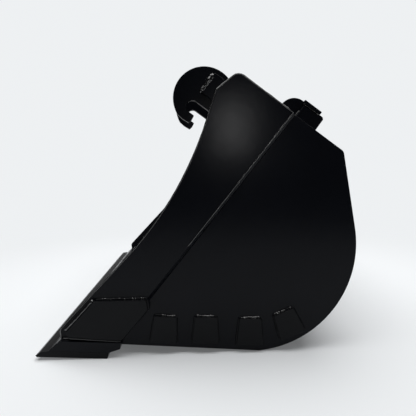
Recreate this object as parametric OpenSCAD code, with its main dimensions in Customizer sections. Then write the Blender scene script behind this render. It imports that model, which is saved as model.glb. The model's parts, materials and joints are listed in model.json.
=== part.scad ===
// Wide grading bucket for an excavator, welded from plate.
// X runs from the cutting edge to the back, Y across the width, Z up.
// The origin is the middle of the axis of the two front hooks.
// Side shapes are drawn as [x, z], with z counted from the ground.

/* [Bucket] */
// Overall width, measured over the cutting edge
bucket_w = 1500; // [900:10:2000]
// Height of the hook axis above the ground
hook_height = 797.6; // [790:0.1:805]
// Radius of the rolled heel
heel_r = 314.5; // [305:0.5:318]
// Distance of the heel's centre behind the hook axis
heel_x = 164; // [158:0.5:168]
// Lean of the back, from the vertical
back_angle = 9.4; // [8:0.1:11]
// Rise of the floor towards the mouth
floor_angle = 4.7; // [4:0.1:6]
// Slope of the top, falling to the back
top_angle = 36.4; // [36:0.1:37]
// Corner where the mouth meets the top, as [x, z] before rounding
top_corner = [132, 815.2];
// Thickness of the floor, heel and back
shell_t = 12; // [8:1:14]
// Thickness of the top plate and the mouth beam
top_t = 12; // [8:1:14]

/* [Mouth] */
// Depth of the mouth beam below the top
beam_depth = 76.5; // [70:0.5:85]
// Length of the mouth beam along the top
beam_length = 130; // [110:5:140]
// Setback of the mouth's upper corner, along the top
beam_setback = 21.4; // [18:0.1:24]
// Radius of the mouth's upper corner
corner_r = 25; // [22:1:28]
// Length of the straight below the upper corner
brow_length = 85; // [75:1:95]
// Angle of the mouth's edge at its top
brow_angle = 71.6; // [70:0.1:73]
// Angle of the mouth's edge at its foot
foot_angle = 46.5; // [45:0.1:50]
// Radius of the hollow between the two
mouth_r = 1050; // [1000:10:1100]

/* [Sides] */
// Thickness of the front side plates
front_side_t = 25; // [20:1:30]
// Thickness of the rear side plates
rear_side_t = 16; // [12:1:16]
// Step from the front plate down to the rear plate at the seam
seam_step = 9; // [9:1:12]
// Width of the bevel that takes up the step
seam_bevel = 10; // [6:1:14]
// Place of the seam on the top edge, behind the hook axis
seam_x = 296; // [290:1:302]
// Angle of the seam, from the horizontal
seam_angle = 51.1; // [50.5:0.1:52]
// Radius of the corner between top and back
rear_corner_r = 18; // [12:1:24]

/* [Cutting edge] */
// Rise of the cutting edge towards its tip
edge_angle = 3; // [2:0.5:4]
// Place of the cutting edge's rear corner
edge_x = -259.2; // [-264:0.1:-256]
// Thickness of the cutting edge
edge_t = 18; // [16:1:20]
// Length of the cutting edge, rear corner to tip
edge_length = 202; // [195:1:210]
// Thickness of the lip plate
lip_t = 30; // [25:1:32]
// Length of the lip plate ahead of the edge's rear corner
lip_front = 136; // [133:1:140]
// Length of the lip plate behind it
lip_rear = 42; // [40:1:44]
// Number of edge bolts
bolt_count = 7; // [3:2:9]
// Distance between two edge bolts
bolt_pitch = 220; // [180:10:240]
// Diameter of the edge bolts
bolt_d = 20; // [16:1:24]

/* [Wear parts] */
// Thickness of the side wear plates
wear_t = 20; // [12:1:20]
// Thickness of the heel pads
pad_t = 15; // [10:1:18]
// Height of a heel pad
pad_h = 78; // [70:1:84]
// Width of a heel pad at its foot
pad_foot = 78; // [70:1:84]
// Width of a heel pad at its head
pad_head = 63; // [56:1:70]
// Centre and tilt of each heel pad, as [x, z, tilt]
pads = [[-90, 76, -5.5], [31, 71.5, -2.5], [162, 64, -2], [275.5, 85.5, 22]];

/* [Hooks and lock] */
// Distance over the outer faces of the two hinge plates
hinge_w = 334; // [300:2:360]
// Thickness of a hinge plate
hinge_t = 30; // [24:1:36]
// Radius of the hook pocket
pocket_r = 25.5; // [20:0.5:28]
// Outer radius of the hook
hook_r = 127.4; // [124:0.2:130]
// Centre of the hook's outer round, as [along, above] the top
hook_centre = [-75.8, -37];
// Reach of the claw past the pocket's axis
claw_reach = 25.5; // [15:0.5:30]
// Underside of the claw, from its tip, as [along, above] the pocket's axis
claw = [[28.3, -45.4], [25, -61.2], [-3.8, -63.7]];
// Height of the hinge plates between hook and lock
saddle_h = 62; // [50:1:90]
// Radius of the lock bore
lock_r = 20; // [16:0.5:22]
// Outer radius of the lock bush
bush_r = 31; // [26:0.5:32]
// Centre of the lock bore, as [along, above] the top
lock_centre = [240, 98];
// Radius of the hinge plate's rear round
rear_round_r = 62; // [58:1:64]
// Centre of that round, as [along, above] the top
rear_round = [258, 131];
// Length of the rear block, along the top
block_l = 98.5; // [90:0.5:105]
// Height of the rear block above the top
block_h = 182.6; // [176:0.2:186]
// Thickness of the cap on the rear block
cap_t = 13.4; // [8:0.2:16]
// Length of that cap
cap_l = 84; // [76:0.5:90]
// Thickness of the base plate under the hinge plates
base_t = 12; // [8:1:16]
// Distance that doubler, bush and rear block stand proud
proud_t = 20; // [12:1:24]

/* [Hidden] */

$fn = 96;
half_w = bucket_w / 2;

// Colours
paint = [0.05, 0.05, 0.055];
worn_steel = [0.16, 0.16, 0.17];
zinc = [0.62, 0.63, 0.65];

// Sides: distances of their faces from the middle
side_out = half_w - wear_t;
side_in = side_out - front_side_t;
rear_out = side_out - seam_step;

// A point given along and above the sloping top
function on_top(a, n) = [top_corner[0] + a * cos(top_angle) + n * sin(top_angle),
    top_corner[1] - a * sin(top_angle) + n * cos(top_angle)];
// Height of a side point above the sloping top
function above_top(p) = (p - top_corner) * [sin(top_angle), cos(top_angle)];
// A point given along and above the underside of the cutting edge
function on_edge(u, w) = [edge_x + u * cos(edge_angle) + w * sin(edge_angle),
    w * cos(edge_angle) - u * sin(edge_angle)];
// Unit vector at an angle
function turn(angle) = [cos(angle), sin(angle)];
// Points of an arc from one angle to another
function arc(centre, r, a1, a2, steps) = [for (i = [0 : steps])
    centre + r * turn(a1 + (a2 - a1) * i / steps)];

// Mouth's upper corner, along and above the top
lean = atan(beam_setback / beam_depth);
corner_run = corner_r / tan(45 + lean / 2);
corner_mid = [corner_run, -corner_r];
// The corner's arc from the top down to the brow, shrunk by t
function corner_arc(t) = arc(corner_mid, corner_r - t, 90, 180 - lean, 12);
// A point of the brow, at a height above the top, shrunk by t
function on_brow(n, t) = [n * tan(lean) + t / cos(lean), n];
function reversed(list) = [for (i = [len(list) - 1 : -1 : 0]) list[i]];
function all_on_top(list) = [for (p = list) on_top(p[0], p[1])];

// Edge of the mouth, from the top down
brow_top = on_top(-beam_setback, -beam_depth);
arc_top = brow_top - brow_length * turn(brow_angle);
mouth_centre = arc_top + mouth_r * turn(brow_angle + 90);
arc_foot = mouth_centre - mouth_r * turn(foot_angle + 90);
lip_top = edge_t + lip_t;
arc_foot_w = (arc_foot[0] - edge_x) * sin(edge_angle) + arc_foot[1] * cos(edge_angle);
// A point of the straight below the hollow, at a height above the cutting edge's underside
function on_mouth(w) = arc_foot - (arc_foot_w - w) / sin(foot_angle + edge_angle) * turn(foot_angle);

// Heel, floor and back
heel = [heel_x, heel_r];
back_dir = turn(90 + back_angle);
floor_rear = heel - heel_r * turn(90 - floor_angle);
// A point of the back, shrunk by t, at a height above the top
function on_back(n, t) = let (foot = heel + (heel_r - t) * turn(back_angle))
    foot + (n - above_top(foot)) / cos(back_angle + top_angle) * back_dir;
// Half of the angle between top and back
rear_half = (90 + top_angle + back_angle) / 2;
rear_mid = on_back(0, 0) - rear_corner_r / tan(rear_half) * back_dir - rear_corner_r * turn(back_angle);
rear_arc = arc(rear_mid, rear_corner_r, 90 - top_angle, back_angle, 6);

// Seam between front and rear side plates
seam_z = top_corner[1] - (seam_x - top_corner[0]) * tan(top_angle);
lip_end = on_edge(lip_rear, lip_top);
seam_foot_x = seam_x - (seam_z - lip_end[1]) / tan(seam_angle);
seam_foot = [seam_foot_x, lip_end[1] + (lip_end[0] - seam_foot_x) * tan(edge_angle)];
// A point of the floor, shrunk by t
function on_floor(x, t) = [x, floor_rear[1] + (floor_rear[0] - x) * tan(floor_angle) + t / cos(floor_angle)];

// Hinge plates, along and above the top
hook_rel = [0, hook_height] - top_corner;
pocket = [hook_rel * [cos(top_angle), -sin(top_angle)], hook_rel * [sin(top_angle), cos(top_angle)]];
// Half the height of the slot that leads into the pocket
slot_h = pocket_r - 0.3;
hinge_in = hinge_w / 2 - hinge_t;
block_front = rear_round[0] + 12;
block_rear = block_front + block_l;
base_front = 30;
base_rear = block_rear + 8;
base_w = hinge_w + 80;
doubler_r = hook_r - 22.5;
doubler_front = -100;
doubler_foot = -26;
fillet_r = 40;

// Fasteners of the cutting edge
bolt_u = 5 - edge_length / 2;
head_d = 1.8 * bolt_d;
washer_t = 3;
nut_t = 0.8 * bolt_d;

// Lifts a side shape, drawn from the ground, into the bucket's frame
module extrude_side(width, middle = 0) {
    translate([0, middle, -hook_height])
        rotate([90, 0, 0])
            linear_extrude(width, center = true)
                children();
}

// The same for a shape drawn along and above the sloping top
module extrude_top(width, middle = 0) {
    extrude_side(width, middle)
        translate(top_corner)
            rotate(-top_angle)
                children();
}

// The same for a shape drawn along and above the cutting edge's underside
module extrude_edge(width, middle = 0) {
    extrude_side(width, middle)
        translate([edge_x, 0])
            rotate(-edge_angle)
                children();
}

// Bends plate from the floor round the heel to the top plate
module wrapper() {
    color(paint)
        extrude_side(2 * side_in)
            polygon(concat([on_back(-top_t, 0)], arc(heel, heel_r, back_angle, floor_angle - 90, 36),
                [on_floor(lip_end[0], 0), on_floor(lip_end[0], shell_t)],
                arc(heel, heel_r - shell_t, floor_angle - 90, back_angle, 36), [on_back(-top_t, shell_t)]));
}

module top_plate() {
    color(paint)
        extrude_side(2 * side_in)
            polygon(concat([on_top(corner_run, -top_t), on_top(corner_run, 0)], rear_arc,
                [on_back(-top_t, 0)]));
}

// Closed with the top plate, it stiffens the mouth
module mouth_beam() {
    color(paint)
        extrude_top(2 * side_in)
            polygon(concat(corner_arc(0), [on_brow(-beam_depth, 0), [beam_length, -beam_depth],
                [beam_length, -top_t], [beam_length - top_t, -top_t],
                [beam_length - top_t, top_t - beam_depth], on_brow(top_t - beam_depth, top_t)],
                reversed(corner_arc(top_t))));
}

module edge_holes(d, depth) {
    for (i = [0 : bolt_count - 1])
        edge_bolt_place(i)
            translate([0, 0, -1])
                cylinder(d = d, h = depth + 2);
}

// Axis of one edge bolt: its Z leaves the underside of the cutting edge
module edge_bolt_place(i) {
    translate([edge_x, (i - (bolt_count - 1) / 2) * bolt_pitch, -hook_height])
        rotate([0, edge_angle, 0])
            translate([bolt_u, 0, 0])
                children();
}

module lip_plate() {
    color(paint)
        difference() {
            extrude_edge(bucket_w)
                polygon([[-lip_front - lip_t, edge_t], [-lip_front, lip_top], [lip_rear, lip_top],
                    [lip_rear - 2, edge_t + 12], [8, edge_t]]);
            edge_holes(bolt_d + 2, lip_top);
        }
}

module cutting_edge() {
    color(paint)
        difference() {
            extrude_edge(bucket_w)
                polygon([[4, 0], [4 - edge_length, 0], [-edge_length, 4],
                    [11 - edge_length, 0.78 * edge_t], [32 - edge_length, edge_t], [8, edge_t]]);
            edge_holes(bolt_d + 2, edge_t);
            for (i = [0 : bolt_count - 1])
                edge_bolt_place(i)
                    cylinder(d1 = head_d + 2, d2 = bolt_d + 2, h = 0.7 * edge_t);
        }
}

module edge_bolts() {
    color(zinc)
        for (i = [0 : bolt_count - 1])
            edge_bolt_place(i)
                translate([0, 0, 1]) {
                    cylinder(d1 = head_d, d2 = bolt_d, h = 0.7 * edge_t - 1);
                    cylinder(d = bolt_d, h = lip_top + washer_t + nut_t + 5);
                }
}

module edge_washers() {
    color(zinc)
        for (i = [0 : bolt_count - 1])
            edge_bolt_place(i)
                translate([0, 0, lip_top])
                    difference() {
                        cylinder(d = 1.85 * bolt_d, h = washer_t);
                        translate([0, 0, -1])
                            cylinder(d = bolt_d + 1, h = washer_t + 2);
                    }
}

module edge_nuts() {
    color(zinc)
        for (i = [0 : bolt_count - 1])
            edge_bolt_place(i)
                translate([0, 0, lip_top + washer_t])
                    difference() {
                        cylinder(d = 1.73 * bolt_d, h = nut_t, $fn = 6);
                        translate([0, 0, -1])
                            cylinder(d = bolt_d + 0.4, h = nut_t + 2);
                    }
}

// side is -1 on the left (at -Y) and 1 on the right
module front_side_plate(side) {
    color(paint)
        difference() {
            extrude_side(front_side_t, side * (side_in + side_out) / 2)
                polygon(concat([on_edge(3 - lip_front, lip_top), on_mouth(lip_top + 28)],
                    arc(mouth_centre, mouth_r, foot_angle - 90, brow_angle - 90, 12), [brow_top],
                    reversed(all_on_top(corner_arc(0))), [[seam_x, seam_z], seam_foot]));
            // Bevel that takes up the step along the seam
            translate([seam_x, 0, seam_z - hook_height])
                rotate([0, 90 - seam_angle, 0])
                    linear_extrude(4 * heel_r + 4 * hook_height, center = true)
                        polygon([[-2 * seam_bevel, side * (side_out + seam_step)],
                            [seam_bevel, side * (rear_out - seam_step)],
                            [seam_bevel, side * (side_out + seam_step)]]);
        }
}

module front_side_plate_left() {
    front_side_plate(-1);
}

module front_side_plate_right() {
    front_side_plate(1);
}

module rear_side_plate(side) {
    color(paint)
        extrude_side(rear_side_t, side * (rear_out - rear_side_t / 2))
            polygon(concat([[seam_x, seam_z]], rear_arc, arc(heel, heel_r, back_angle, floor_angle - 90, 36),
                [on_floor(seam_foot[0], 0), seam_foot]));
}

module rear_side_plate_left() {
    rear_side_plate(-1);
}

module rear_side_plate_right() {
    rear_side_plate(1);
}

module side_wear_plate(side) {
    color(paint)
        extrude_side(wear_t, side * (side_out + wear_t / 2))
            polygon([[-372, 81.5], [-290.5, 169], [-140, 170.5], [-136, 142.5], [-215.5, 52], [-366, 66]]);
}

module side_wear_plate_left() {
    side_wear_plate(-1);
}

module side_wear_plate_right() {
    side_wear_plate(1);
}

module heel_pad(side, i) {
    color(paint)
        extrude_side(pad_t, side * (rear_out + pad_t / 2))
            translate([pads[i][0], pads[i][1]])
                rotate(pads[i][2])
                    polygon([[-pad_foot, -pad_h], [pad_foot, -pad_h],
                        [pad_head, pad_h], [-pad_head, pad_h]] / 2);
}

module heel_pad_left_1() {
    heel_pad(-1, 0);
}

module heel_pad_left_2() {
    heel_pad(-1, 1);
}

module heel_pad_left_3() {
    heel_pad(-1, 2);
}

module heel_pad_left_4() {
    heel_pad(-1, 3);
}

module heel_pad_right_1() {
    heel_pad(1, 0);
}

module heel_pad_right_2() {
    heel_pad(1, 1);
}

module heel_pad_right_3() {
    heel_pad(1, 2);
}

module heel_pad_right_4() {
    heel_pad(1, 3);
}

module base_plate() {
    color(paint)
        extrude_top(base_w)
            translate([base_front, 0])
                square([base_rear - base_front, base_t]);
}

// Hook at the front, saddle, and the rear round that carries the lock
module hinge_outline() {
    saddle_angle = asin((saddle_h - hook_centre[1]) / hook_r);
    rise = rear_round[0] - rear_round_r;
    difference() {
        polygon(concat([pocket + [0, -slot_h], pocket + [claw_reach, -slot_h]], [for (p = claw) pocket + p],
            arc(hook_centre, hook_r, 246, saddle_angle, 40),
            arc([rise - fillet_r, saddle_h + fillet_r], fillet_r, -90, 0, 8),
            arc(rear_round, rear_round_r, 180, 54, 20),
            [[block_rear - 22, block_h - 2], [block_rear, block_h - 24], [block_rear, base_t],
                [base_front, base_t], [base_front, 0]],
            corner_arc(0), [on_brow(pocket[1] + slot_h, 0), pocket + [0, slot_h]]));
        translate(pocket)
            circle(pocket_r);
        translate(lock_centre)
            circle(bush_r);
    }
}

module hinge_plate(side) {
    color(paint)
        extrude_top(hinge_t, side * (hinge_in + hinge_t / 2))
            hinge_outline();
}

module hinge_plate_left() {
    hinge_plate(-1);
}

module hinge_plate_right() {
    hinge_plate(1);
}

// Stiffens the root of the hook, inside a smaller round of the same centre
module hook_doubler(side) {
    color(paint)
        extrude_top(proud_t, side * (hinge_w + proud_t) / 2)
            polygon(concat(arc(hook_centre, doubler_r,
                acos((doubler_front - hook_centre[0]) / doubler_r), asin(-hook_centre[1] / doubler_r), 18),
                corner_arc(0), [on_brow(doubler_foot, 0), [doubler_front, doubler_foot]]));
}

module hook_doubler_left() {
    hook_doubler(-1);
}

module hook_doubler_right() {
    hook_doubler(1);
}

module lock_bush(side) {
    color(worn_steel)
        extrude_top(hinge_t + proud_t, side * (hinge_in + (hinge_t + proud_t) / 2))
            translate(lock_centre)
                difference() {
                    circle(bush_r - 0.05);
                    circle(lock_r);
                }
}

module lock_bush_left() {
    lock_bush(-1);
}

module lock_bush_right() {
    lock_bush(1);
}

module rear_block(side) {
    color(paint)
        extrude_top(proud_t, side * (hinge_w + proud_t) / 2)
            polygon([[block_front, base_t], [block_front, block_h], [block_rear - 7, block_h],
                [block_rear, block_h - 7], [block_rear, base_t]]);
}

module rear_block_left() {
    rear_block(-1);
}

module rear_block_right() {
    rear_block(1);
}

module block_cap(side) {
    color(paint)
        extrude_top(proud_t + 5, side * (hinge_w + proud_t + 5) / 2)
            translate([block_front - 8.5, block_h])
                square([cap_l, cap_t]);
}

module block_cap_left() {
    block_cap(-1);
}

module block_cap_right() {
    block_cap(1);
}

module hinge_gussets(side) {
    color(paint)
        for (a = [90, 165])
            translate([top_corner[0], 0, top_corner[1] - hook_height])
                rotate([0, top_angle, 0])
                    translate([a, side * hinge_w / 2, base_t])
                        rotate([90, 0, 90])
                            linear_extrude(top_t)
                                polygon([[0, 0], [side * 36, 0], [side * 36, 10], [0, saddle_h - base_t]]);
}

module hinge_gussets_left() {
    hinge_gussets(-1);
}

module hinge_gussets_right() {
    hinge_gussets(1);
}

// Closes the seat between the hinge plates behind the lock
module rear_stop() {
    color(paint)
        extrude_top(2 * hinge_in)
            translate([block_rear - 25, base_t])
                square([20, 60]);
}

wrapper();
top_plate();
mouth_beam();
lip_plate();
cutting_edge();
edge_bolts();
edge_washers();
edge_nuts();
front_side_plate_left();
front_side_plate_right();
rear_side_plate_left();
rear_side_plate_right();
side_wear_plate_left();
side_wear_plate_right();
heel_pad_left_1();
heel_pad_left_2();
heel_pad_left_3();
heel_pad_left_4();
heel_pad_right_1();
heel_pad_right_2();
heel_pad_right_3();
heel_pad_right_4();
base_plate();
hinge_plate_left();
hinge_plate_right();
hook_doubler_left();
hook_doubler_right();
lock_bush_left();
lock_bush_right();
rear_block_left();
rear_block_right();
block_cap_left();
block_cap_right();
hinge_gussets_left();
hinge_gussets_right();
rear_stop();
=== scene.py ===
"""Looks of a wide grading bucket for an excavator, welded from plate.

Lengths are metres. X runs from the cutting edge to the back, Y across the
width and Z up, with the origin in the middle of the hook axis.
"""

import json
import logging
import math
from dataclasses import dataclass, field
from enum import Enum
from typing import Callable, Sequence

import bmesh
import bpy
from mathutils import Matrix, Vector, noise


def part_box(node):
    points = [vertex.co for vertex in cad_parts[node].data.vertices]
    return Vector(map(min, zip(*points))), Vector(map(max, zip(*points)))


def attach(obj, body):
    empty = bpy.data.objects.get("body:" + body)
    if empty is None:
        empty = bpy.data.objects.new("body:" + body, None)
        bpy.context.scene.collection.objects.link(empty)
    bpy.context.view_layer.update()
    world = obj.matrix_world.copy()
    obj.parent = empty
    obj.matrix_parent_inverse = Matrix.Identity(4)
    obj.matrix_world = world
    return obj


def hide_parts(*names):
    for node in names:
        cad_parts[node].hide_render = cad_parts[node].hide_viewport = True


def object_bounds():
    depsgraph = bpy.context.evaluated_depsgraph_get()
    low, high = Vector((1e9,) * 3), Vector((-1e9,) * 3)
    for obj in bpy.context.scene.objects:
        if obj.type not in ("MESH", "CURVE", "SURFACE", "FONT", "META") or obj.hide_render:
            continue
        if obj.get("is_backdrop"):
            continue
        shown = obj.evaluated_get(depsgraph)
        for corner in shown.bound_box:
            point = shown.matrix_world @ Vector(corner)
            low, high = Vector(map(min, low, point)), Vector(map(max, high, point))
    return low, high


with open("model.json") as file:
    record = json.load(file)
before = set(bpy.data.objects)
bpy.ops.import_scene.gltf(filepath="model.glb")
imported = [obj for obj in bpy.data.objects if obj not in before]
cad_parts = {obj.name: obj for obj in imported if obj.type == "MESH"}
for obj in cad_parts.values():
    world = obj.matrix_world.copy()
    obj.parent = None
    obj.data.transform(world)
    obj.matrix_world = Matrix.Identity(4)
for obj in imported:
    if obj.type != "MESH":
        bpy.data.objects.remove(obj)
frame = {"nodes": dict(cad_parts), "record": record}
LOG = logging.getLogger("bucket")
MM = 0.001
MERGE_GAP = 0.00001
STRAY_CELLS = 90.0
STRAY_SHIFT = 17.3
LUMP_CELLS = 70.0
UP = Vector((0.0, 0.0, 1.0))
UP_SLOPE = math.radians(36.4)
BROW = Vector((0.132, 0.0, 0.0176))


class Side(Enum):
    """The two sides of the bucket, with the sign of their Y."""

    LEFT = -1
    RIGHT = 1

    @property
    def word(self) -> str:
        """Name of the side as the CAD nodes spell it."""
        return self.name.lower()

    @property
    def outward(self) -> Vector:
        """Unit vector that points away from the middle plane."""
        return Vector((0.0, float(self.value), 0.0))


class Slot(Enum):
    """Material slots of the record."""

    BODY = "body_paint"
    WEAR = "wear_paint"
    ZINC = "zinc_steel"
    BUSH = "bush_steel"


class Graph:
    """A small helper that adds and links shader nodes."""

    def __init__(self, tree: bpy.types.NodeTree) -> None:
        """Clears the tree and keeps it.

        Args:
            tree: Node tree to fill.
        """
        self.tree = tree
        tree.nodes.clear()

    def add(self, kind: str, inputs: dict[str, object] | None = None, **settings: object) -> bpy.types.Node:
        """Adds a node.

        Args:
            kind: Node type, as Blender names it.
            inputs: Values or output sockets for its inputs, by name.
            settings: Properties of the node.

        Returns:
            The new node.
        """
        node = self.tree.nodes.new(kind)
        for key, value in settings.items():
            setattr(node, key, value)
        for key, value in (inputs or {}).items():
            if isinstance(value, bpy.types.NodeSocket):
                self.tree.links.new(value, node.inputs[key])
            else:
                node.inputs[key].default_value = value
        return node

    def noise(self, where: bpy.types.NodeSocket, scale: float, detail: float = 2.0) -> bpy.types.NodeSocket:
        """Adds a noise texture.

        Args:
            where: Vector socket.
            scale: Cells per metre.
            detail: Octaves.

        Returns:
            Its factor socket.
        """
        node = self.add("ShaderNodeTexNoise", {"Vector": where, "Scale": scale, "Detail": detail})
        return node.outputs["Fac"]

    def span(self, value: bpy.types.NodeSocket, low: float, high: float,
             start: float = 0.3, stop: float = 0.7) -> bpy.types.NodeSocket:
        """Maps a factor to a range.

        Args:
            value: Factor socket.
            low: Result at start.
            high: Result at stop.
            start: Factor that gives low.
            stop: Factor that gives high.

        Returns:
            The mapped value's socket.
        """
        node = self.add("ShaderNodeMapRange", {
            "Value": value, "From Min": start, "From Max": stop, "To Min": low, "To Max": high})
        return node.outputs["Result"]


@dataclass(frozen=True)
class Paint:
    """Sprayed gloss enamel on plate."""

    name: str
    color: tuple[float, float, float]
    roughness: tuple[float, float]
    specular: float = 0.1
    peel: float = 0.05
    mottle: float = 1.6

    def build(self) -> bpy.types.Material:
        """Makes the material.

        Returns:
            A material with orange peel, brush-wide gloss changes and faint mottling.
        """
        material = bpy.data.materials.new(self.name)
        material.use_nodes = True
        graph = Graph(material.node_tree)
        where = graph.add("ShaderNodeTexCoord").outputs["Object"]
        shade = graph.add("ShaderNodeMix", {
            "Factor": graph.noise(where, 5.0, 5.0),
            "A": (*self.color, 1.0),
            "B": (*(self.mottle * c for c in self.color), 1.0)}, data_type="RGBA")
        gloss = graph.span(graph.noise(where, 7.0, 4.0), *self.roughness)
        coarse = graph.add("ShaderNodeBump", {
            "Height": graph.noise(where, 22.0, 2.0), "Strength": 0.4 * self.peel, "Distance": 0.01})
        fine = graph.add("ShaderNodeBump", {
            "Height": graph.noise(where, 420.0, 1.0), "Strength": self.peel, "Distance": 0.001,
            "Normal": coarse.outputs["Normal"]})
        shader = graph.add("ShaderNodeBsdfPrincipled", {
            "Base Color": shade.outputs["Result"], "Roughness": gloss,
            "Specular IOR Level": self.specular, "Normal": fine.outputs["Normal"]})
        graph.add("ShaderNodeOutputMaterial", {"Surface": shader.outputs["BSDF"]})
        return material


@dataclass(frozen=True)
class Steel:
    """Bare or plated steel."""

    name: str
    color: tuple[float, float, float]
    roughness: tuple[float, float]
    grain: float = 900.0

    def build(self) -> bpy.types.Material:
        """Makes the material.

        Returns:
            A metal with fine grain and patches of duller plating.
        """
        material = bpy.data.materials.new(self.name)
        material.use_nodes = True
        graph = Graph(material.node_tree)
        where = graph.add("ShaderNodeTexCoord").outputs["Object"]
        shade = graph.add("ShaderNodeMix", {
            "Factor": graph.noise(where, 60.0, 4.0),
            "A": (*self.color, 1.0),
            "B": (*(0.7 * c for c in self.color), 1.0)}, data_type="RGBA")
        gloss = graph.span(graph.noise(where, 90.0, 3.0), *self.roughness)
        bump = graph.add("ShaderNodeBump", {
            "Height": graph.noise(where, self.grain, 1.0), "Strength": 0.15, "Distance": 0.0005})
        shader = graph.add("ShaderNodeBsdfPrincipled", {
            "Base Color": shade.outputs["Result"], "Metallic": 1.0, "Roughness": gloss,
            "Normal": bump.outputs["Normal"]})
        graph.add("ShaderNodeOutputMaterial", {"Surface": shader.outputs["BSDF"]})
        return material


FINISHES: dict[Slot, Paint | Steel] = {
    Slot.BODY: Paint("gloss_black", (0.003, 0.0034, 0.0048), (0.18, 0.2)),
    Slot.WEAR: Paint("wear_black", (0.0034, 0.0037, 0.0045), (0.2, 0.26), peel=0.07),
    Slot.ZINC: Steel("zinc_plating", (0.55, 0.56, 0.58), (0.3, 0.45)),
    Slot.BUSH: Steel("oiled_bush", (0.13, 0.13, 0.135), (0.22, 0.36), grain=1500.0),
}
BEAD_FINISH = Paint("bead_enamel", (0.004, 0.004, 0.0045), (0.1, 0.16), specular=0.5, peel=0.15)
SPATTER_FINISH = Paint("spatter_enamel", (0.004, 0.004, 0.0045), (0.08, 0.14), specular=1.0, peel=0.2)


def slot_of(node: str) -> Slot:
    """Finds the material slot of a CAD node.

    Args:
        node: Name of the node.

    Returns:
        The slot that the record gives it.
    """
    for part in frame["record"]["subparts"]:
        if part["node"] == node:
            return Slot(part["material_slot"])
    raise KeyError(node)


def merged(node: str) -> bmesh.types.BMesh:
    """Copies a CAD node's mesh and joins its triangles into clean faces.

    Args:
        node: Name of the node.

    Returns:
        A new bmesh.
    """
    mesh = bmesh.new()
    mesh.from_mesh(frame["nodes"][node].data)
    bmesh.ops.remove_doubles(mesh, verts=mesh.verts, dist=MERGE_GAP)
    bmesh.ops.dissolve_limit(mesh, angle_limit=math.radians(0.4), verts=mesh.verts, edges=mesh.edges)
    mesh.normal_update()
    return mesh


def outline(node: str, direction: Vector) -> list[Vector]:
    """Finds the rim of a node's largest face that looks in a direction.

    Args:
        node: Name of the node.
        direction: Unit vector.

    Returns:
        The rim's corners in order.
    """
    mesh = bmesh.new()
    mesh.from_mesh(frame["nodes"][node].data)
    bmesh.ops.remove_doubles(mesh, verts=mesh.verts, dist=MERGE_GAP)
    mesh.normal_update()
    facing = [f for f in mesh.faces if f.normal.dot(direction) > 0.995]
    far = max(f.calc_center_median().dot(direction) for f in facing)
    faces = [f for f in facing if abs(f.calc_center_median().dot(direction) - far) < 0.0005]
    chosen = set(faces)
    steps: dict[int, int] = {}
    points = {}
    for face in faces:
        for loop in face.loops:
            others = [f for f in loop.edge.link_faces if f in chosen]
            if len(others) == 1:
                a, b = loop.vert, loop.link_loop_next.vert
                steps[a.index] = b.index
                points[a.index] = a.co.copy()
                points[b.index] = b.co.copy()
    rims = []
    while steps:
        start = next(iter(steps))
        rim, here = [], start
        while here in steps:
            rim.append(points[here])
            here = steps.pop(here)
        rims.append(rim)
    mesh.free()
    return max(rims, key=lambda rim: sum((p - rim[i - 1]).length for i, p in enumerate(rim)))


def runs(rim: Sequence[Vector], keep: Callable[[Vector, Vector], bool]) -> list[list[Vector]]:
    """Splits a rim into the stretches whose edges pass a test.

    Args:
        rim: Corners of a closed rim.
        keep: Test of one edge, given its two ends.

    Returns:
        Open stretches, or one closed stretch whose ends coincide.
    """
    count = len(rim)
    flags = [keep(rim[i], rim[(i + 1) % count]) for i in range(count)]
    if all(flags):
        return [list(rim) + [rim[0]]]
    found = []
    first = flags.index(False)
    stretch: list[Vector] = []
    for step in range(1, count + 1):
        i = (first + step) % count
        if flags[i]:
            if not stretch:
                stretch = [rim[i]]
            stretch.append(rim[(i + 1) % count])
        elif stretch:
            found.append(stretch)
            stretch = []
    if stretch:
        found.append(stretch)
    return found


def resample(path: Sequence[Vector], step: float) -> list[Vector]:
    """Spaces points evenly along a path.

    Args:
        path: Corners of the path.
        step: Wanted distance between points.

    Returns:
        Points from the path's start to its end.
    """
    lengths = [(path[i + 1] - path[i]).length for i in range(len(path) - 1)]
    total = sum(lengths)
    count = max(4, round(total / step))
    result, i, passed = [], 0, 0.0
    for k in range(count + 1):
        goal = total * k / count
        while i < len(lengths) - 1 and passed + lengths[i] < goal:
            passed += lengths[i]
            i += 1
        share = (goal - passed) / lengths[i] if lengths[i] > 0 else 0.0
        result.append(path[i].lerp(path[i + 1], min(1.0, share)))
    return result


def settle(mesh: bmesh.types.BMesh, name: str, finish: Slot, stands_for: Sequence[str] = (),
           coat: Paint | Steel | None = None) -> bpy.types.Object:
    """Turns a bmesh into a finished piece of the bucket.

    Args:
        mesh: The piece's mesh, which is freed.
        name: Name of the piece.
        finish: Slot whose material it takes.
        stands_for: CAD nodes that it replaces.
        coat: Finish that differs from the slot's own.

    Returns:
        The new object.
    """
    data = bpy.data.meshes.new(name)
    mesh.to_mesh(data)
    mesh.free()
    data.shade_smooth()
    data.materials.append(Workshop.material(coat or FINISHES[finish]))
    piece = bpy.data.objects.new(name, data)
    bpy.context.scene.collection.objects.link(piece)
    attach(piece, "root")
    if stands_for:
        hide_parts(*stands_for)
    LOG.info("%s: %d faces", name, len(data.polygons))
    return piece


class Workshop:
    """Keeps one material for each finish."""

    made: dict[str, bpy.types.Material] = {}

    @classmethod
    def material(cls, finish: Paint | Steel) -> bpy.types.Material:
        """Gives the material of a finish, making it the first time.

        Args:
            finish: The finish.

        Returns:
            Its material.
        """
        if finish.name not in cls.made:
            cls.made[finish.name] = finish.build()
        return cls.made[finish.name]


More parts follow.
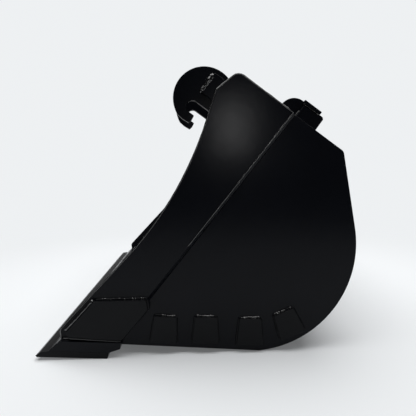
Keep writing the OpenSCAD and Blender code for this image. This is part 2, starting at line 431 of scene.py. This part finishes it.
@dataclass
class Plate:
    """A plate whose cut edges are broken by grinding."""

    node: str
    edge: float = 1.5 * MM
    segments: int = 2
    sharp: float = 28.0

    def build(self) -> bpy.types.Object:
        """Makes the plate in the place of its CAD node.

        Returns:
            The plate's object.
        """
        mesh = merged(self.node)
        corners = [e for e in mesh.edges
                   if len(e.link_faces) == 2 and e.calc_face_angle() > math.radians(self.sharp)]
        bmesh.ops.bevel(mesh, geom=corners, offset=self.edge, offset_type="OFFSET", affect="EDGES",
                        segments=self.segments, profile=0.5, material=-1, clamp_overlap=True)
        piece = settle(mesh, f"plate_{self.node}", slot_of(self.node), [self.node])
        normals = piece.modifiers.new("flat_faces", "WEIGHTED_NORMAL")
        normals.keep_sharp = True
        normals.weight = 60
        return piece


@dataclass
class Bead:
    """A fillet weld with the ripples of its passes."""

    name: str
    paths: list[list[Vector]]
    across: Vector
    radius: float = 4.5 * MM
    pitch: float = 3.2 * MM
    ripple: float = 0.16
    lumps: float = 0.18
    wander: float = 0.0
    sides: int = 8
    coat: Paint = BEAD_FINISH

    def stations(self, path: Sequence[Vector]) -> list[tuple[Vector, Vector]]:
        """Lists the centres and directions of the bead's rings.

        Args:
            path: Corners of one stretch of the weld.

        Returns:
            The centre and the direction of each ring, from one end to the other.
        """
        points = resample(path, self.pitch)
        result = []
        for i, here in enumerate(points):
            before, after = points[max(0, i - 1)], points[min(len(points) - 1, i + 1)]
            spot = STRAY_CELLS * here
            stray = Vector([noise.noise(spot + Vector((0.0, 0.0, STRAY_SHIFT * k))) for k in range(3)])
            result.append((here + self.wander * stray, (after - before).normalized()))
        return result

    def thickness(self, centre: Vector, number: int, to_end: int) -> float:
        """Gives the radius of one ring.

        Args:
            centre: Middle of the ring.
            number: Number of the ring.
            to_end: Rings between it and the nearer end.

        Returns:
            The radius, with the bead's lumps, its ripples and its thin ends.
        """
        lump = 1.0 + self.lumps * noise.noise(LUMP_CELLS * centre)
        taper = 1.0 if to_end > 1 else 0.55 + 0.3 * to_end
        return self.radius * lump * (1.0 - self.ripple * (number % 2)) * taper

    def ring(self, centre: Vector, along: Vector, size: float) -> Matrix:
        """Places one ring.

        Args:
            centre: Middle of the ring.
            along: Direction of the weld.
            size: Radius of the ring.

        Returns:
            The matrix that carries a unit circle to the ring.
        """
        side = along.cross(self.across)
        if side.length < 0.01:
            side = along.orthogonal()
        side.normalize()
        up = side.cross(along).normalized()
        turn = Matrix((side, up, along)).transposed().to_4x4()
        return Matrix.Translation(centre) @ turn @ Matrix.Scale(size, 4)

    def stretch(self, path: Sequence[Vector]) -> bmesh.types.BMesh:
        """Makes one closed stretch of the bead.

        Args:
            path: Corners of the stretch.

        Returns:
            A new bmesh.
        """
        part = bmesh.new()
        places = self.stations(path)
        last = len(places) - 1
        previous = None
        edges: list[bmesh.types.BMEdge] = []
        for i, (centre, along) in enumerate(places):
            place = self.ring(centre, along, self.thickness(centre, i, min(i, last - i)))
            if previous is None:
                bmesh.ops.create_circle(part, cap_ends=False, radius=1.0, segments=self.sides, matrix=place)
                edges = list(part.edges)
            else:
                grown = bmesh.ops.extrude_edge_only(part, edges=edges)["geom"]
                verts = [g for g in grown if isinstance(g, bmesh.types.BMVert)]
                bmesh.ops.transform(part, matrix=place @ previous.inverted(), verts=verts)
                rim = set(verts)
                edges = [g for g in grown if isinstance(g, bmesh.types.BMEdge)
                         and g.verts[0] in rim and g.verts[1] in rim]
            previous = place
        bmesh.ops.holes_fill(part, edges=[e for e in part.edges if e.is_boundary], sides=self.sides)
        bmesh.ops.recalc_face_normals(part, faces=part.faces)
        return part

    def build(self) -> bpy.types.Object:
        """Makes all stretches of the bead as one piece.

        Returns:
            The bead's object.
        """
        mesh = bmesh.new()
        for path in self.paths:
            part = self.stretch(path)
            held = bpy.data.meshes.new("bead_part")
            part.to_mesh(held)
            part.free()
            mesh.from_mesh(held)
            bpy.data.meshes.remove(held)
        return settle(mesh, self.name, Slot.BODY, coat=self.coat)


def slope_place(point: Vector) -> tuple[float, float]:
    """Turns a point into its place along and above the sloping top.

    Args:
        point: The point in the bucket's frame.

    Returns:
        Distance along the top and height above it, from the mouth's upper corner.
    """
    x, z = point.x - BROW.x, point.z - BROW.z
    return (x * math.cos(UP_SLOPE) - z * math.sin(UP_SLOPE),
            x * math.sin(UP_SLOPE) + z * math.cos(UP_SLOPE))


def on_slope(along: float, above: float, y: float) -> Vector:
    """Gives the point at a place along and above the sloping top.

    Args:
        along: Distance from the mouth's upper corner.
        above: Height above the top.
        y: Distance from the middle plane.

    Returns:
        The point in the bucket's frame.
    """
    return Vector((BROW.x + along * math.cos(UP_SLOPE) + above * math.sin(UP_SLOPE), y,
                   BROW.z - along * math.sin(UP_SLOPE) + above * math.cos(UP_SLOPE)))


def shifted(paths: Sequence[Sequence[Vector]], by: Vector) -> list[list[Vector]]:
    """Moves all the points of some paths."""
    return [[p + by for p in path] for path in paths]


@dataclass
class Welds:
    """The beads on one side of the bucket."""

    side: Side
    small: float = 4.5 * MM
    usual: float = 5.5 * MM
    heavy: float = 11.0 * MM
    front: float = 7.0 * MM
    wear_head: float = 5.0 * MM
    paint: float = 2.2 * MM
    seam: float = 2.4 * MM
    pad_count: int = 4
    least_pad_head: float = 0.055
    least_wear_head: float = 0.14
    least_wear_front: float = 0.1
    foot_band: float = 0.016
    lip_band: float = 0.012
    hook_front: float = -0.09
    hook_foot: float = 0.004
    base_top: float = 0.012
    hinge_span: tuple[float, float] = (0.03, 0.368)
    block_span: tuple[float, float] = (0.27, 0.36)
    block_head: float = 0.152
    cap_span: tuple[float, float] = (0.266, 0.341)
    cap_seat: float = 0.1806
    gusset_faces: tuple[float, ...] = (0.09, 0.102, 0.165, 0.177)
    gusset_head: float = 0.060
    gusset_reach: float = 0.036
    seam_slope: float = 51.1
    seam_foot: float = -0.1033
    seam_from: float = 0.27
    least_seam: float = 0.1
    seam_shown: float = 0.58
    heel: tuple[float, float] = (0.164, -0.4831)
    inner_heel: tuple[float, float] = (0.28, 0.3045)
    floor_front: float = -0.1

    @property
    def word(self) -> str:
        """Name of the side as the CAD nodes spell it."""
        return self.side.word

    @property
    def across(self) -> Vector:
        """Unit vector that points out of the side."""
        return self.side.outward

    def face(self, node: str, inner: bool = False) -> float:
        """Gives the Y of a node's outer or inner face."""
        low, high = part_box(node)
        return low.y if (self.side is Side.LEFT) != inner else high.y

    def rim(self, node: str, inner: bool = True) -> list[Vector]:
        """Gives the rim of a node's face towards or away from the middle."""
        return outline(node, -self.across if inner else self.across)

    def around(self, node: str) -> list[Vector]:
        """Gives the whole closed path round a node's foot."""
        return runs(self.rim(node), lambda a, b: True)[0]

    def bead(self, name: str, paths: list[list[Vector]], radius: float, **shape: object) -> None:
        """Makes one bead of this side, with the side's word in its name."""
        Bead(f"{name}_{self.word}", paths, self.across, radius, **shape).build()

    def head(self, path: Sequence[Vector], least: float, forward: bool = False) -> list[Vector]:
        """Picks one long straight stretch of a closed path.

        Args:
            path: The closed path.
            least: Length that the stretch has to exceed.
            forward: Whether to pick the foremost one, not the highest.

        Returns:
            The stretch's two ends.
        """
        edges = [(a, b) for a, b in zip(path, path[1:]) if (a - b).length > least]
        if forward:
            return list(min(edges, key=lambda edge: edge[0].x + edge[1].x))
        return list(max(edges, key=lambda edge: edge[0].z + edge[1].z))

    def pads(self) -> None:
        """Welds the heel pads, with spatter along their heads."""
        pads = [self.around(f"heel_pad_{self.word}_{i + 1}") for i in range(self.pad_count)]
        self.bead("pad_welds", pads, self.small, coat=FINISHES[Slot.WEAR])
        heads = [self.head(path, self.least_pad_head) for path in pads]
        self.bead("pad_head_welds", heads, self.usual, pitch=3.6 * MM, ripple=0.35, lumps=0.7,
                  wander=2.5 * MM, coat=SPATTER_FINISH)

    def wear_plate(self) -> None:
        """Welds the side wear plate along its head, front and foot."""
        node = f"side_wear_plate_{self.word}"
        path = self.around(node)
        self.bead("wear_plate_weld", [path], self.usual, coat=FINISHES[Slot.WEAR])
        self.bead("wear_head_weld", [self.head(path, self.least_wear_head)], self.wear_head,
                  pitch=4.0 * MM, ripple=0.3, lumps=0.6, wander=2.0 * MM, coat=SPATTER_FINISH)
        front = [self.head(path, self.least_wear_front, forward=True)]
        self.bead("wear_front_weld", shifted(front, Vector((-0.002, 0.0, 0.002)) + 0.009 * self.across),
                  self.front, pitch=4.0 * MM, ripple=0.15, lumps=0.4, wander=1.0 * MM, coat=SPATTER_FINISH)
        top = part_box(node)[0].z + self.foot_band
        foot = runs(self.rim(node, inner=False), lambda a, b: max(a.z, b.z) < top)
        self.bead("wear_foot_weld", shifted(foot, Vector((0.0, -0.008 * self.side.value, -0.004))),
                  self.usual, ripple=0.3)

    def upright(self, a: Vector, b: Vector) -> bool:
        """Tells whether an edge of the hook's doubler is its straight front."""
        start, stop = slope_place(a)[0], slope_place(b)[0]
        return abs(start - stop) < 1.0 * MM and start < self.hook_front

    def round_hook(self, a: Vector, b: Vector) -> bool:
        """Tells whether an edge of the doubler is another one above its foot."""
        return not self.upright(a, b) and min(slope_place(a)[1], slope_place(b)[1]) > self.hook_foot

    def hook(self) -> None:
        """Welds the doubler on the hook, with a heavy bead down its front."""
        rim = self.rim(f"hook_doubler_{self.word}")
        ahead = on_slope(0.0, -0.005, 0.0) - on_slope(0.0, 0.0, 0.0) + 0.014 * self.across
        self.bead("hook_front_weld", shifted(runs(rim, self.upright), ahead), self.heavy,
                  pitch=4.5 * MM, ripple=0.2, lumps=0.35, wander=1.0 * MM, sides=12, coat=SPATTER_FINISH)
        self.bead("hook_round_weld", runs(rim, self.round_hook), self.small, coat=FINISHES[Slot.BODY])

    def block(self) -> None:
        """Welds the rear block, its cap and the lock bush."""
        node = f"rear_block_{self.word}"
        inner, outer = self.face(node, inner=True), self.face(node)
        front, back = self.block_span
        corner = on_slope(front, self.base_top, inner)
        self.bead("block_weld", [[corner, on_slope(front, self.block_head, inner)],
                                 [corner, on_slope(back, self.base_top, inner)]], self.usual)
        cap = [on_slope(a, self.cap_seat, outer) for a in self.cap_span]
        Bead(f"cap_weld_{self.word}", [cap], UP, self.small, coat=SPATTER_FINISH).build()
        plate = self.face(f"hinge_plate_{self.word}")
        ring = [Vector((p.x, plate, p.z)) for p in outline(f"lock_bush_{self.word}", self.across)]
        self.bead("bush_weld", [ring + [ring[0]]], self.usual, coat=SPATTER_FINISH)

    def hinge(self) -> None:
        """Welds the hinge plate to the base plate and its gussets."""
        node = f"hinge_plate_{self.word}"
        low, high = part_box(node)
        paths = [[on_slope(a, self.base_top, y) for a in self.hinge_span] for y in (low.y, high.y)]
        Bead(f"hinge_foot_welds_{self.word}", paths, UP, self.usual).build()
        outer = self.face(node)
        reach = outer + self.gusset_reach * self.side.value
        tips = []
        for a in self.gusset_faces:
            root = on_slope(a, self.base_top, outer)
            tips.append([on_slope(a, self.gusset_head, outer), root])
            tips.append([root, on_slope(a, self.base_top, reach)])
        Bead(f"gusset_welds_{self.word}", tips, Vector((1.0, 0.0, 1.0)), self.small * 0.8).build()

    def behind_seam(self, p: Vector) -> float:
        """Gives how far a point lies behind the slanting line through the seam's foot."""
        return p.x - (p.z - self.seam_foot) / math.tan(math.radians(self.seam_slope))

    def on_seam(self, a: Vector, b: Vector) -> bool:
        """Tells whether an edge of the front side plate lies on the seam."""
        return (min(self.behind_seam(a), self.behind_seam(b)) > self.seam_from
                and (a - b).length > self.least_seam)

    def edges(self) -> None:
        """Lets paint stand thick on the front side plate's free edges and down the seam's upper part."""
        rim = self.rim(f"front_side_plate_{self.word}", inner=False)
        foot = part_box("lip_plate")[1].z + self.lip_band
        free = runs(rim, lambda a, b: max(a.z, b.z) > foot and not self.on_seam(a, b))
        self.bead("paint_edge", free, self.paint, pitch=8.0 * MM, ripple=0.0, lumps=0.3, sides=6,
                  coat=SPATTER_FINISH)
        seams = [sorted(path, key=lambda p: -p.z) for path in runs(rim, self.on_seam)]
        upper = [[path[0], path[0].lerp(path[-1], self.seam_shown)] for path in seams]
        self.bead("seam_bead", upper, self.seam, pitch=6.0 * MM, ripple=0.1, lumps=0.4, sides=6,
                  coat=SPATTER_FINISH)

    def on_inner_heel(self, a: Vector, b: Vector) -> bool:
        """Tells whether an edge of the wrapper lies on the inner face of its heel."""
        middle = Vector((self.heel[0], a.y, self.heel[1]))
        reach = max((a - middle).length, (b - middle).length)
        return self.inner_heel[0] < reach < self.inner_heel[1] and a.x > self.floor_front

    def shell(self) -> None:
        """Welds the side plates to the lip plate and the wrapper."""
        node = f"front_side_plate_{self.word}"
        inner, outer = self.face(node, inner=True), self.face(node)
        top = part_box("lip_plate")[1].z + self.lip_band
        foot = runs(self.rim(node, inner=False), lambda a, b: max(a.z, b.z) < top)
        facing = [[Vector((p.x, y, p.z)) for p in path] for path in foot for y in (outer, inner)]
        self.bead("lip_end_welds", facing, self.usual)
        wrapper = [Vector((p.x, inner, p.z)) for p in outline("wrapper", self.across)]
        self.bead("shell_welds", runs(wrapper, self.on_inner_heel), self.usual)

    def build(self) -> None:
        """Makes all beads of the side."""
        self.pads()
        self.wear_plate()
        self.hook()
        self.block()
        self.hinge()
        self.edges()
        self.shell()


@dataclass
class MiddleWelds:
    """The bead that runs across the bucket."""

    usual: float = 4.5 * MM
    span: tuple[float, float] = (0.03, 0.3765)

    def build(self) -> None:
        """Makes the bead round the base plate."""
        low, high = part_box("base_plate")
        front, back = self.span
        corners = [on_slope(a, 0.0, y) for a, y in
                   ((front, low.y), (back, low.y), (back, high.y), (front, high.y))]
        Bead("base_plate_weld", [corners + [corners[0]]], Vector((0.5934, 0.0, 0.8049)), self.usual).build()


@dataclass
class Softbox:
    """One rectangular light."""

    name: str
    place: tuple[float, float, float]
    aim: tuple[float, float, float]
    size: tuple[float, float]
    power: float

    def build(self) -> bpy.types.Object:
        """Hangs the light.

        Returns:
            The light's object.
        """
        light = bpy.data.lights.new(self.name, "AREA")
        light.shape = "RECTANGLE"
        light.size, light.size_y = self.size
        light.energy = self.power
        lamp = bpy.data.objects.new(self.name, light)
        bpy.context.scene.collection.objects.link(lamp)
        lamp.location = self.place
        lamp.rotation_euler = (Vector(self.aim) - Vector(self.place)).to_track_quat("-Z", "Y").to_euler()
        lamp.visible_camera = False
        return lamp


@dataclass
class Studio:
    """A pale floor in a dim room with soft lights."""

    floor_r: float = 14.0
    fade: tuple[float, float] = (0.5, 2.2)
    lit: tuple[float, float] = (2.6, 3.8)
    glow: float = 0.1
    pale: tuple[float, float, float] = (0.855, 0.875, 0.89)
    room: float = 0.03
    lights: list[Softbox] = field(default_factory=lambda: [
        Softbox("overhead", (0.3, 0.1, 3.2), (0.3, 0.0, -0.8), (6.0, 6.0), 305.0),
        Softbox("key", (0.355, -3.5, 0.125), (0.0, -0.7, -0.1), (0.23, 0.42), 3.3),
        Softbox("backdrop", (0.0, 4.5, 0.8), (0.0, 0.0, 0.0), (9.0, 4.0), 27.0),
    ])

    def share(self, graph: Graph, away: bpy.types.NodeSocket,
              span: tuple[float, float]) -> bpy.types.NodeSocket:
        """Adds a smooth step over a span of distances.

        Args:
            graph: Graph to add to.
            away: Socket of the distance from the floor's middle.
            span: Distances where the step starts and ends.

        Returns:
            The step's socket.
        """
        node = graph.add("ShaderNodeMapRange", {"Value": away, "From Min": span[0], "From Max": span[1]},
                         interpolation_type="SMOOTHSTEP")
        return node.outputs["Result"]

    def floor_material(self) -> bpy.types.Material:
        """Makes the matt floor, which fades into the room's pale far end.

        Returns:
            The floor's material.
        """
        material = bpy.data.materials.new("studio_floor")
        material.use_nodes = True
        graph = Graph(material.node_tree)
        where = graph.add("ShaderNodeTexCoord").outputs["Object"]
        flat = graph.add("ShaderNodeVectorMath", {0: where, 1: (1.0, 1.0, 0.0)}, operation="MULTIPLY")
        away = graph.add("ShaderNodeVectorMath", {0: flat.outputs[0]}, operation="LENGTH").outputs["Value"]
        seen = graph.add("ShaderNodeLightPath").outputs["Is Camera Ray"]
        matt = graph.add("ShaderNodeBsdfDiffuse", {"Color": (*self.pale, 1.0)})
        pale = graph.add("ShaderNodeEmission", {"Color": (*self.pale, 1.0), "Strength": 1.0})
        dim = graph.add("ShaderNodeEmission", {"Color": (*self.pale, 1.0), "Strength": self.room})
        near = graph.add("ShaderNodeMixShader", {0: self.glow, 1: matt.outputs[0], 2: pale.outputs[0]})
        looked_at = graph.add("ShaderNodeMixShader", {
            0: self.share(graph, away, self.fade), 1: near.outputs[0], 2: pale.outputs[0]})
        mirrored = graph.add("ShaderNodeMixShader", {
            0: self.share(graph, away, self.lit), 1: near.outputs[0], 2: dim.outputs[0]})
        mixed = graph.add("ShaderNodeMixShader", {0: seen, 1: mirrored.outputs[0], 2: looked_at.outputs[0]})
        graph.add("ShaderNodeOutputMaterial", {"Surface": mixed.outputs[0]})
        return material

    def lay_floor(self) -> None:
        """Lays the floor at the height that the bucket stands on."""
        mesh = bmesh.new()
        bmesh.ops.create_circle(mesh, cap_ends=True, radius=self.floor_r, segments=96,
                                matrix=Matrix.Translation((0.0, 0.0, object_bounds()[0].z)))
        data = bpy.data.meshes.new("studio_floor")
        mesh.to_mesh(data)
        mesh.free()
        data.materials.append(self.floor_material())
        floor = bpy.data.objects.new("studio_floor", data)
        bpy.context.scene.collection.objects.link(floor)
        floor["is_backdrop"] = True

    def set_room(self) -> None:
        """Makes the room pale to look at and dim in reflections."""
        world = bpy.data.worlds.new("room")
        bpy.context.scene.world = world
        world.use_nodes = True
        graph = Graph(world.node_tree)
        seen = graph.add("ShaderNodeLightPath").outputs["Is Camera Ray"]
        room = graph.add("ShaderNodeBackground", {"Color": (*self.pale, 1.0), "Strength": self.room})
        wall = graph.add("ShaderNodeBackground", {"Color": (*self.pale, 1.0), "Strength": 1.0})
        mixed = graph.add("ShaderNodeMixShader", {0: seen, 1: room.outputs[0], 2: wall.outputs[0]})
        graph.add("ShaderNodeOutputWorld", {"Surface": mixed.outputs[0]})

    def build(self) -> None:
        """Lays the floor, hangs the lights and sets the room."""
        self.lay_floor()
        for light in self.lights:
            light.build()
        self.set_room()


@dataclass
class Viewpoint:
    """The camera, at standing distance from the bucket's side."""

    place: tuple[float, float, float] = (0.00515, -1.97727, -0.25174)
    yaw: float = 1.7031
    pitch: float = 5.1929
    roll: float = 0.6825
    lens: float = 37.763
    sensor: float = 36.0
    farthest: float = 100.0

    def build(self) -> bpy.types.Object:
        """Sets the scene's camera.

        Returns:
            The camera's object.
        """
        optics = bpy.data.cameras.new("camera")
        optics.lens = self.lens
        optics.sensor_width = self.sensor
        optics.clip_end = self.farthest
        camera = bpy.data.objects.new("camera", optics)
        bpy.context.scene.collection.objects.link(camera)
        turn = (Matrix.Rotation(math.radians(-self.yaw), 4, "Z")
                @ Matrix.Rotation(math.radians(90.0 - self.pitch), 4, "X")
                @ Matrix.Rotation(math.radians(-self.roll), 4, "Z"))
        camera.matrix_world = Matrix.Translation(self.place) @ turn
        bpy.context.scene.camera = camera
        bpy.context.scene.view_settings.view_transform = "Standard"
        return camera


def main() -> None:
    """Builds the bucket's looks, the floor, the light and the camera."""
    logging.basicConfig(level=logging.INFO, format="%(name)s: %(message)s")
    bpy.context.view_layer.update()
    for node in frame["nodes"]:
        turned = slot_of(node) in (Slot.ZINC, Slot.BUSH)
        Plate(node, edge=(0.6 if turned else 1.5) * MM).build()
    for side in Side:
        Welds(side).build()
    MiddleWelds().build()
    Studio().build()
    Viewpoint().build()


if __name__ == "__main__":
    main()
